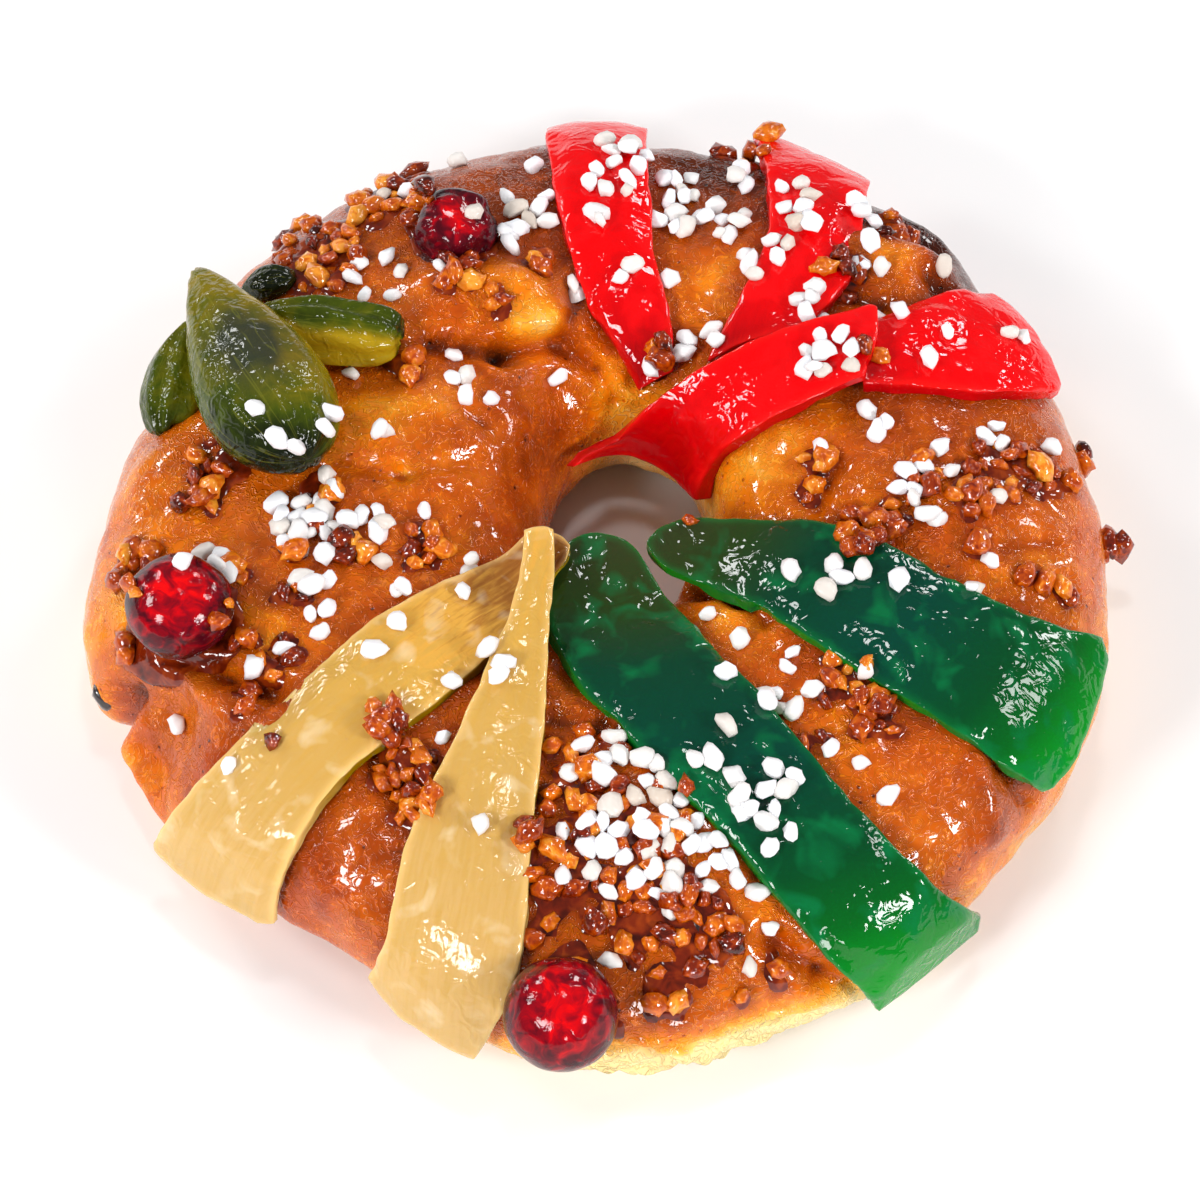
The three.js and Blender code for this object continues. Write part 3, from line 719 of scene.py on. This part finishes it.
# The thread crests are drawn paler: partly the skin's own fine texture, partly a painted glint along the
# crests
threadGlintShift = addNode(tree, "MapRange", {"To Min": 0.02, "To Max": -0.08}, {"Value": threadCrest})
shifts = addNode(tree, "Math", {"operation": "ADD"}, {"Value": mottleShift, "Value_001": threadGlintShift})
baked = addNode(tree, "Math", {"operation": "ADD"}, {"Value": "bake", "Value_001": shifts})
# darker beside the strips, with syrup and painted contact shade
dampShaded = addNode(tree, "Math", {"operation": "MULTIPLY_ADD", "Value_001": 0.10},
    {"Value": "damp", "Value_002": baked})
deeper = addNode(tree, "Math", {"operation": "MULTIPLY_ADD", "Value_001": 0.25},
    {"Value": poreDark, "Value_002": dampShaded})
crustColour = addNode(tree, "ValToRGB",
    {"stops": [(0.0, "#FCE09A"), (0.14, "#FCC864"), (0.28, "#F9A826"), (0.42, "#EA8008"), (0.55, "#CA5C04"),
      (0.68, "#A64202"), (0.82, "#702A04"), (1.0, "#361204")]}, {"Fac": deeper})
blushAmount = addNode(tree, "MapRange", {"From Min": 0.42, "From Max": 0.62, "To Max": 0.6}, {"Value": blush})
blushed = addNode(tree, "Mix", {"data_type": "RGBA", "blend_type": "MULTIPLY", "B_Color": tint("#FFE2D8")},
    {"Factor_Float": blushAmount, "A_Color": crustColour})
# Darker where syrup lies, and right round each nut with painted contact shade as well
soaked = addNode(tree, "MapRange", {"From Min": 0.2, "From Max": 0.8, "To Max": 0.8}, {"Value": "syrup"})
wetAndShadedColour = addNode(tree, "Mix",
    {"data_type": "RGBA", "blend_type": "MULTIPLY", "B_Color": tint("#8A3A1C")},
    {"Factor_Float": soaked, "A_Color": blushed})
skinBump = addNode(tree, "Bump", {"Strength": 1.0, "Distance": 0.23 * mm}, {"Height": threadCrest})
poreBump = addNode(tree, "Bump", {"Strength": 0.7, "Distance": 0.35 * mm, "invert": True},
    {"Height": poreDark, "Normal": skinBump})
shader = addNode(tree, "BsdfPrincipled",
    {"Roughness": 0.6, "Specular IOR Level": 0.0, "Subsurface Weight": 0.1, "Subsurface Scale": 0.002,
     "Subsurface Radius": (1.0, 0.4, 0.15), "Coat Weight": 1.0, "Coat Roughness": 0.06, "Coat IOR": 1.45},
    {"Base Color": wetAndShadedColour, "Normal": poreBump, "Coat Normal": poreBump})
addNode(tree, "OutputMaterial", links={"Surface": shader})
finishPiece(breadPiece, glazedCrust, "crust", "bread")

cherries = {
    "cherry_left": {"tall": 21, "wrinkles": ((9, 0.4), (4, 0.16)), "dark": 0.11},
    "cherry_front": {"tall": 23, "wrinkles": ((9, 0.35), (4, 0.14)), "dark": 0.05},
    "cherry_back": {"tall": 16, "wrinkles": ((9, 1.9), (4, 0.7)), "dark": 0.18},
}

# Candied cherries: a taut glossy skin, with painted light, bright red where light goes through, and painted
# shade, near black at the rim
cherryMaterial, tree = newMaterial("candiedCherry")
flesh = addNode(tree, "TexNoise", {"Scale": 1 / (4.5 * mm), "Detail": 3.0, "Distortion": 1.4})
shift = addNode(tree, "MapRange", {"From Min": 0.3, "From Max": 0.7, "To Min": -0.3, "To Max": 0.3},
    {"Value": flesh})
glow = addNode(tree, "Math", {"operation": "ADD"}, {"Value": "core", "Value_001": shift})
colour = addNode(tree, "ValToRGB",
    {"stops": [(0.0, "#2E040E"), (0.3, "#560614"), (0.55, "#900414"), (0.8, "#CE040E"), (1.0, "#F20A08")]},
    {"Fac": glow})
skin = addNode(tree, "Bump", {"Strength": 0.4, "Distance": 0.6 * mm}, {"Height": flesh})
shader = addNode(tree, "BsdfPrincipled",
    {"Roughness": 0.4, "Specular IOR Level": 0.0, "Subsurface Weight": 0.1, "Subsurface Scale": 0.003,
     "Subsurface Radius": (1.0, 0.03, 0.03), "Coat Weight": 0.9, "Coat Roughness": 0.04, "Coat IOR": 1.36},
    {"Base Color": colour, "Normal": skin, "Coat Normal": skin})
addNode(tree, "OutputMaterial", links={"Surface": shader})

# The painted light is brightest a little in front of the top, where light has the least flesh to cross, and
# it fades to painted shade towards the rim
cherryPaintedLight = {"forward": 0.15, "up": 0.5, "squash": (1, 1, 0.8), "most": 1.05, "fall": 0.8, "curve": 1.3}
cherryPieces = []
for seed, (node, cherry) in enumerate(cherries.items()):
    low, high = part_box(node)
    half = Vector(((high.x - low.x) / 2, (high.y - low.y) / 2, cherry["tall"] * mm / 2))
    middle = Vector(((low.x + high.x) / 2, (low.y + high.y) / 2, high.z - half.z))
    bm = bmesh.new()
    bmesh.ops.create_icosphere(bm, subdivisions=6, radius=1)
    bmesh.ops.transform(bm, matrix=Matrix.Translation(middle) @ Matrix.Diagonal((*half, 1)), verts=bm.verts)
    piece = newPiece(node + "_fruit", bm)
    points = readPoints(piece.data)
    normals = readNormals(piece.data)
    for size, tall in cherry["wrinkles"]:
        points += normals * (tall * mm * unevenness(points, size, 80 + seed))[:, None]
    writePoints(piece.data, points)
    brightest = (0, -cherryPaintedLight["forward"] * half.x, cherryPaintedLight["up"] * half.z)
    fromTop = (points - np.array(middle) - brightest) / half.x
    paintedRimShade = np.linalg.norm(fromTop * cherryPaintedLight["squash"], axis=1) ** cherryPaintedLight["curve"]
    writeValue(piece.data, "core", cherryPaintedLight["most"] - cherryPaintedLight["fall"] * paintedRimShade - cherry["dark"])
    finishPiece(piece, cherryMaterial, "cherry", node)
    cherryPieces.append(piece)

# "stem" is the way the stem end points, "heart" a patch of dark seeds seen through the skin,
# "paintedFrontLight" how much yellower, with painted light, the side that faces the front is (below 0, darker
# with painted shade), and "blunt" how square the round end is
figs = {
    "fig_large": {"stem": (-0.46, 0.88, -0.1), "dark": 0.0, "ridges": 0.2, "heart": 1.0, "paintedFrontLight": -0.25,
                  "blunt": 0.0},
    "fig_right": {"stem": (-0.96, 0.2, 0.0), "dark": 0.26, "ridges": 0.5, "heart": 0.0, "paintedFrontLight": 0.85,
                  "blunt": 0.35},
    "fig_left": {"stem": (0.17, 0.95, 0.25), "dark": 0.16, "ridges": 0.3, "heart": 0.0, "paintedFrontLight": 0.1,
                 "blunt": 0.0},
    "fig_far": {"stem": (-1.0, 0.0, -0.3), "dark": 0.6, "ridges": 0.2, "heart": 0.0, "paintedFrontLight": 0.0,
                "blunt": 0.0},
}

# Small green figs candied whole: olive skin gone clear, veins that run from the stem end, dark seeds inside
figMaterial, tree = newMaterial("candiedFig")
cloud = addNode(tree, "TexNoise", {"Scale": 1 / (6 * mm), "Detail": 4.0, "Distortion": 0.9})
cloudShift = addNode(tree, "MapRange", {"From Min": 0.3, "From Max": 0.7, "To Min": -0.13, "To Max": 0.13},
    {"Value": cloud})
ripeness = addNode(tree, "Math", {"operation": "ADD"}, {"Value": "ripe", "Value_001": cloudShift})
skinColour = addNode(tree, "ValToRGB",
    {"stops": [(0.0, "#141A0C"), (0.2, "#26300A"), (0.4, "#3E4A08"), (0.6, "#605E0A"), (0.8, "#84700C"),
      (1.0, "#AA8A14")]}, {"Fac": ripeness})
hearted = addNode(tree, "Mix", {"data_type": "RGBA", "B_Color": tint("#30352A")},
    {"Factor_Float": "heart", "A_Color": skinColour})
veinPlace = addNode(tree, "CombineXYZ", {}, {"X": "around", "Y": "along"})
veinNoise = addNode(tree, "TexNoise", {"Scale": 1.0, "Detail": 2.0, "Distortion": 0.3}, {"Vector": veinPlace})
veinLine = addNode(tree, "Math", {"operation": "SUBTRACT", "Value_001": 0.55}, {"Value": veinNoise})
veinAway = addNode(tree, "Math", {"operation": "ABSOLUTE"}, {"Value": veinLine})
vein = addNode(tree, "MapRange", {"From Min": 0.0, "From Max": 0.02, "To Min": 0.25, "To Max": 0.0},
    {"Value": veinAway})
veined = addNode(tree, "Mix", {"data_type": "RGBA", "B_Color": tint("#8C8C30")},
    {"Factor_Float": vein, "A_Color": hearted})
ribs = addNode(tree, "Bump", {"Strength": 0.2, "Distance": 0.5 * mm}, {"Height": veinNoise})
dimple = addNode(tree, "TexNoise", {"Scale": 1 / (2.8 * mm), "Detail": 0.6, "Distortion": 1.6})
skin = addNode(tree, "Bump", {"Strength": 0.6, "Distance": 0.7 * mm}, {"Height": dimple, "Normal": ribs})
shader = addNode(tree, "BsdfPrincipled",
    {"Roughness": 0.45, "Specular IOR Level": 0.0, "Subsurface Weight": 0.12, "Subsurface Scale": 0.003,
     "Subsurface Radius": (0.6, 0.6, 0.1), "Coat Weight": 0.9, "Coat Roughness": 0.05, "Coat IOR": 1.34},
    {"Base Color": veined, "Normal": skin, "Coat Normal": skin})
addNode(tree, "OutputMaterial", links={"Surface": shader})

# Places along a fig run from 0 at the round end to 1 at the stem
figSkin = {
    "grain": 0.75, "smoothTimes": 28, "plump": 0.5,  # mm, and mm put back after the smoothing
    "ridgeCount": 7, "ridgeBend": (2, 20), "uneven": (0.25, 6),
    "bluntFlat": (0.9, 0.3), "bluntWiden": (0.14, 0.16),
    "veins": (1.6, 3.2),  # steps of the vein pattern along the fig and round it
    "ripe": 0.52, "stemRiper": 0.25, "rightRiper": 0.14 / 10, "footDarker": 0.26, "foot": (0.0, 0.22),
    "frontFacing": (0.1, 0.75),
    "heartPlace": 0.46, "heartLong": 0.18, "heartWide": 0.7, "heartStrength": 1.5, "heartMost": 0.92,
}
figPieces = []
for seed, (node, fig) in enumerate(figs.items()):
    piece = newPiece(node + "_fruit", cadCopy(node))
    addModifier(piece, "REMESH", mode="VOXEL", voxel_size=figSkin["grain"] * mm)
    addModifier(piece, "SMOOTH", factor=0.5, iterations=figSkin["smoothTimes"])
    applyModifiers(piece)
    points = readPoints(piece.data)
    normals = readNormals(piece.data)
    stem = np.array(Vector(fig["stem"]).normalized())
    along = points @ stem
    along = (along - along.min()) / (along.max() - along.min())
    spine = points.mean(0)
    sideways = np.cross(stem, (0, 0, 1))
    upward = np.cross(sideways, stem)
    aside = (points - spine) @ sideways
    around = np.arctan2(aside, (points - spine) @ upward)
    bend, bendLength = figSkin["ridgeBend"]
    ridges = np.cos(around * figSkin["ridgeCount"] + bend * unevenness(points, bendLength, 90 + seed))
    # A blunt fig's round end is pressed flat and its shoulder stands out
    flat, flatPart = figSkin["bluntFlat"]
    shoulder, shoulderLong = figSkin["bluntWiden"]
    length = np.ptp(points @ stem)
    points += (flat * np.maximum(flatPart * fig["blunt"] - along, 0) * length)[:, None] * stem
    fromAxis = (points - spine) - ((points - spine) @ stem)[:, None] * stem
    points += (fig["blunt"] * bell(along - shoulder, shoulderLong))[:, None] * fromAxis
    uneven, unevenSize = figSkin["uneven"]
    swell = figSkin["plump"] + fig["ridges"] * ridges + uneven * unevenness(points, unevenSize, 95 + seed)
    points += normals * (swell * mm)[:, None]
    writePoints(piece.data, points)
    writeValue(piece.data, "along", along * figSkin["veins"][0])
    writeValue(piece.data, "around", around * figSkin["veins"][1])
    ripe = figSkin["ripe"] + figSkin["stemRiper"] * along - fig["dark"] + figSkin["rightRiper"] * aside / mm
    ripe -= figSkin["footDarker"] * fadeOut(along, *figSkin["foot"])
    # painted light on the side that faces the front, and painted shade there where the amount is below 0
    ripe += fig["paintedFrontLight"] * smoothStep(-normals[:, 1], *figSkin["frontFacing"])
    writeValue(piece.data, "ripe", ripe)
    heart = bell(along - figSkin["heartPlace"], figSkin["heartLong"]) * bell(around, figSkin["heartWide"])
    heart *= 1 + 0.5 * unevenness(points, 5, 97)
    heart = np.clip(figSkin["heartStrength"] * fig["heart"] * heart, 0, figSkin["heartMost"])
    writeValue(piece.data, "heart", heart)
    finishPiece(piece, figMaterial, "fig", node)
    figPieces.append(piece)

food = joinTrees([breadPiece] + stripPieces + cherryPieces + figPieces)
figTree = joinTrees(figPieces)


def onFig(x, y):
    return figTree.ray_cast(overhead(x, y), down)[0] is not None


def topSpot(x, y):  # the highest point of the food under a place, and which way it faces
    spot, out, _, _ = food.ray_cast(overhead(x, y), down)
    if spot is None:
        spot, out, _, _ = food.find_nearest(overhead(x, y) - Vector((0, 0, 0.182)))
    return spot, out


# A chip about 1 across is cut flat "cutDepth" from its middle, and chips nearer than "touch" pile up
pebble = {
    "radius": 0.55, "cutDepth": (0.26, 0.42), "bumpsAcross": 3.2,
    "tilt": 0.25, "touch": 0.42, "piled": 0.7,
}


def pebbleShape(number, cuts, flat, bumps):  # an uneven grain or chip, 1 across
    dice = random.Random(number)
    bm = bmesh.new()
    bmesh.ops.create_icosphere(bm, subdivisions=2, radius=pebble["radius"])
    for _ in range(cuts):  # flatter faces where it was broken
        cut = Vector([dice.uniform(-1, 1) for _ in range(3)]).normalized()
        depth = dice.uniform(*pebble["cutDepth"])
        for vert in bm.verts:
            over = vert.co.dot(cut) - depth
            if over > 0:
                vert.co -= cut * over * flat
    for vert in bm.verts:
        vert.co *= 1 + bumps * noise.noise(vert.co * pebble["bumpsAcross"] + Vector((number, 0, 0)))
    return bm


def chipSize(kind):  # length, width and height, mm
    if "size" in kind:
        return kind["size"]
    low, high = kind["length"]
    length = low + (high - low) * scatterRandom.random() ** kind["power"]
    width = length * scatterRandom.uniform(*kind["width"])
    return length, width, length * scatterRandom.uniform(*kind["height"])


def scatterPiece(name, kind, shapes, places, toneOf):  # chips laid on the food, and piled where they crowd
    meshes = []
    for shape in shapes:
        mesh = bpy.data.meshes.new(name + "Shape")
        shape.to_mesh(mesh)
        shape.free()
        meshes.append(mesh)
    bm = bmesh.new()
    tone = bm.verts.layers.float.new("tone")
    placed = []
    for x, y in places:
        spot, out = topSpot(x, y)
        size = chipSize(kind)
        pile = 0.0
        for other, otherSize in placed:
            touch = pebble["touch"] * (size[0] + otherSize) * mm
            pile = max(pile, touch - (spot - other).length)
        placed.append((spot, size[0]))
        tilt = [scatterRandom.uniform(-pebble["tilt"], pebble["tilt"]) for _ in range(3)]
        out = (out + Vector(tilt)).normalized()
        facing = out.to_track_quat("Z", "Y").to_matrix().to_4x4()
        spin = Matrix.Rotation(scatterRandom.uniform(0, math.tau), 4, "Z")
        lift = out * (size[2] * (0.5 - kind["sunk"]) * mm + pile * pebble["piled"])
        start = len(bm.verts)
        bm.from_mesh(scatterRandom.choice(meshes))
        bm.verts.ensure_lookup_table()
        fresh = bm.verts[start:]
        scale = Matrix.Diagonal((size[0] * mm, size[1] * mm, size[2] * mm, 1))
        bmesh.ops.transform(bm, matrix=Matrix.Translation(spot + lift) @ facing @ spin @ scale, verts=fresh)
        shade = toneOf()
        for vert in fresh:
            vert[tone] = shade
    for mesh in meshes:
        bpy.data.meshes.remove(mesh)
    bmesh.ops.recalc_face_normals(bm, faces=bm.faces)
    return newPiece(name, bm)


# Sizes are mm; width and height are shares of the length, and a power above 1 makes more of the chips small
nuts = {
    "length": (3.2, 6.8), "power": 1.3, "width": (0.6, 0.9), "height": (0.5, 0.75), "sunk": 0.2,
    "shapes": 16,
}
nutShapes = [pebbleShape(i, 3, 0.5, 0.46) for i in range(nuts["shapes"])]
nutPlaces = [place for place in nutPlaces if not onFig(*place)]
nutPiece = scatterPiece("caramel_nuts", nuts, nutShapes, nutPlaces,
    lambda: scatterRandom.betavariate(2.4, 2.0))

# Chopped almonds turned in hot caramel: a hard clear shell, amber where thin and near black in the hollows
nutMaterial, tree = newMaterial("caramelNut")
burn = addNode(tree, "TexNoise", {"Scale": 1 / (2.2 * mm), "Detail": 3.0, "Distortion": 0.8})
burnShift = addNode(tree, "MapRange", {"From Min": 0.3, "From Max": 0.7, "To Min": -0.25, "To Max": 0.25},
    {"Value": burn})
tone = addNode(tree, "Math", {"operation": "ADD"}, {"Value": "tone", "Value_001": burnShift})
colour = addNode(tree, "ValToRGB",
    {"stops": [(0.0, "#3E0C02"), (0.25, "#7A2003"), (0.5, "#AE4204"), (0.75, "#D66A0A"), (1.0, "#F09C30")]},
    {"Fac": tone})
skin = addNode(tree, "Bump", {"Strength": 0.5, "Distance": 0.5 * mm}, {"Height": burn})
shader = addNode(tree, "BsdfPrincipled",
    {"Roughness": 0.5, "Specular IOR Level": 0.0, "Subsurface Weight": 0.1, "Subsurface Scale": 0.002,
     "Subsurface Radius": (1.0, 0.4, 0.1), "Coat Weight": 0.95, "Coat Roughness": 0.04, "Coat IOR": 1.6},
    {"Base Color": colour, "Normal": skin, "Coat Normal": skin})
addNode(tree, "OutputMaterial", links={"Surface": shader})
finishPiece(nutPiece, nutMaterial, "caramel_nut")

# Grains of pearl sugar: x, y, reach and how many, or only x and y where one lies by itself
sugarClusters = [
    (6, 97, 6, 7), (3, 88, 5, 5), (0, 77, 2, 2), (6, 62, 3, 2), (18, 90, 5, 7), (17, 80, 4, 5),
    (29, 80, 6, 8), (34, 94, 3, 3), (44, 84, 5, 4), (46, 76, 4, 3), (38, 66, 6, 6), (48, 53, 4, 5),
    (60, 80, 3, 4), (62, 67, 4, 3), (78, 68), (12, 42, 1, 1), (20, 49, 3, 2), (26, 48, 3, 2), (17, 63),
    (51, 36, 6, 9), (63, 51), (68, 51), (78, 45), (73, 37), (93, 49, 3, 2), (60, 26), (62, 20, 2, 2),
    (49, 16), (75, 16), (71, 10), (77, 9), (68, 5, 3, 4), (73, -3, 2, 2), (87, 21, 3, 3), (100, 21),
    (87, 4), (85, -13), (-16, 82, 6, 7), (-15, 97), (-33, 105), (-20, 71, 3, 3), (-28, 74), (-46, 88, 5, 3),
    (-50, 62, 7, 6), (-35, 61), (-55, 37, 2, 2), (-77, 9), (-73, 7), (-69, 5), (-64, 5), (-59, 8), (-57, 5),
    (-32, 41), (-28, 32, 5, 4), (-9, 42), (-5, 61, 2, 2), (-60, 21, 1, 2), (-75, 24), (-69, 13, 2, 2),
    (-64, 6, 8, 8), (-47, 18, 0, 2), (-62, -5, 8, 13), (-48, -2, 4, 4), (-38, 0, 1, 1), (-46, -13),
    (-83, -13, 5, 5), (-88, -22), (-60, -18, 4, 3), (-58, -28, 4, 3), (-66, -35, 2, 1), (-42, -20, 1, 2),
    (-73, -38), (-90, -43), (-28, -13, 0, 2), (-29, -22), (-42, -31), (-47, -38), (-77, -61), (-31, -45),
    (-32, -57), (-20, -40, 3, 2), (-21, -46), (-24, -79), (-1, -62, 7, 6), (8, -72, 9, 12),
    (16, -80, 8, 10), (0, -84, 9, 8), (24, -86, 5, 6), (12, -90, 6, 4), (34, -91, 1, 1), (36, -95, 1, 1),
    (31, -104), (3, -104), (27, -43), (38, -49, 3, 4), (27, -57), (22, -65, 2, 2), (28, -69, 1, 1),
    (38, -70, 4, 4), (36, -80, 4, 4), (30, -75, 2, 3), (24, -24), (31, -32), (41, -38, 2, 2), (46, -46),
    (57, -42), (42, -50), (49, -60), (55, -63), (61, -69), (42, -18), (53, -18, 4, 3), (49, -24), (64, -22),
    (80, -21, 1, 2),
]
sugar = {
    "length": (4.0, 6.2), "power": 1.0, "width": (0.62, 0.9), "height": (0.55, 0.72), "sunk": 0.12,
    "shapes": 16, "apart": 5.2,
    "onFig": [(-73.8, 13.7), (-58.3, 15.7), (-59.5, 11.6), (-69.2, 7.5), (-65.2, 7)],
}
sugarShapes = [pebbleShape(200 + i, 5, 0.75, 0.3) for i in range(sugar["shapes"])]
sugarPlaces = [place for place in spread(sugarClusters, sugar["apart"]) if not onFig(*place)] + sugar["onFig"]
sugarPiece = scatterPiece("pearl_sugar", sugar, sugarShapes, sugarPlaces,
    lambda: scatterRandom.random() ** 0.6)

# Pearl sugar, pressed and sieved: dense white, a little clear where syrup has soaked in
sugarMaterial, tree = newMaterial("pearlSugar")
crystals = addNode(tree, "TexNoise", {"Scale": 1 / (1.1 * mm), "Detail": 2.0})
colour = addNode(tree, "ValToRGB", {"stops": [(0.0, "#D2C2B2"), (0.3, "#E4DFDA"), (1.0, "#F6F7FC")]},
    {"Fac": "tone"})
skin = addNode(tree, "Bump", {"Strength": 0.3, "Distance": 0.3 * mm}, {"Height": crystals})
shader = addNode(tree, "BsdfPrincipled",
    {"Roughness": 0.5, "Specular IOR Level": 0.2, "Subsurface Weight": 0.3, "Subsurface Scale": 0.0015,
     "Subsurface Radius": (1.0, 0.95, 0.9), "Coat Weight": 0.3, "Coat Roughness": 0.2},
    {"Base Color": colour, "Normal": skin})
addNode(tree, "OutputMaterial", links={"Surface": shader})
finishPiece(sugarPiece, sugarMaterial, "pearl_sugar")

# Bits of dark, nearly burnt fruit: one in the gap of the left rim, one among the front nuts
burnt = {"places": [(-110, -32), (21, -98)], "size": (6.4, 4.6, 3.6), "sunk": 0.8}
burntPiece = scatterPiece("burnt_bits", burnt, [pebbleShape(301, 5, 0.9, 0.5)], burnt["places"], lambda: 0.0)
burntMaterial, tree = newMaterial("burntFruit")
char = addNode(tree, "TexNoise", {"Scale": 1 / (2 * mm), "Detail": 2.0})
colour = addNode(tree, "ValToRGB", {"stops": [(0.35, "#0E0808"), (0.6, "#2A1310"), (0.8, "#1A1A3A")]},
    {"Fac": char})
skin = addNode(tree, "Bump", {"Strength": 0.4, "Distance": 0.4 * mm}, {"Height": char})
shader = addNode(tree, "BsdfPrincipled", {"Roughness": 0.3, "Coat Weight": 0.9, "Coat Roughness": 0.05},
    {"Base Color": colour, "Normal": skin})
addNode(tree, "OutputMaterial", links={"Surface": shader})
finishPiece(burntPiece, burntMaterial, "syrup")

# Caramel syrup that ran between the nuts and set: a dark, clear, glassy film. It lies where the crust is
# wetter than "from" and stands "thick" less "sunk" mm proud where it's wetter by "over"; "solid" is how
# thick the film is in all, mm
syrupLook = {"from": 0.46, "over": 0.25, "thick": 0.8, "sunk": 0.35, "solid": 0.9}
bm = bmesh.new()
bm.from_mesh(breadPiece.data)
wetness = bm.verts.layers.float["syrup"]
dry = [f for f in bm.faces if max(v[wetness] for v in f.verts) < syrupLook["from"]]
bmesh.ops.delete(bm, geom=dry, context="FACES")
bm.normal_update()
for vert in bm.verts:
    share = min(1.0, max(0.0, (vert[wetness] - syrupLook["from"]) / syrupLook["over"]))
    vert.co += vert.normal * (syrupLook["thick"] * math.sqrt(share) - syrupLook["sunk"]) * mm
syrupPiece = newPiece("dried_syrup", bm)
addModifier(syrupPiece, "SOLIDIFY", thickness=syrupLook["solid"] * mm, offset=-1)
applyModifiers(syrupPiece)
syrupMaterial, tree = newMaterial("setSyrup")
depth = addNode(tree, "TexNoise", {"Scale": 1 / (4 * mm), "Detail": 2.0, "Distortion": 0.6})
colour = addNode(tree, "ValToRGB", {"stops": [(0.3, "#3E0E04"), (0.5, "#701E05"), (0.7, "#9A3C0A")]},
    {"Fac": depth})
ripple = addNode(tree, "Bump", {"Strength": 0.4, "Distance": 0.6 * mm}, {"Height": depth})
shader = addNode(tree, "BsdfPrincipled",
    {"Roughness": 0.4, "Specular IOR Level": 0.0, "Coat Weight": 1.0, "Coat Roughness": 0.04,
     "Coat IOR": 1.48}, {"Base Color": colour, "Normal": ripple, "Coat Normal": ripple})
addNode(tree, "OutputMaterial", links={"Surface": shader})
finishPiece(syrupPiece, syrupMaterial, "syrup")
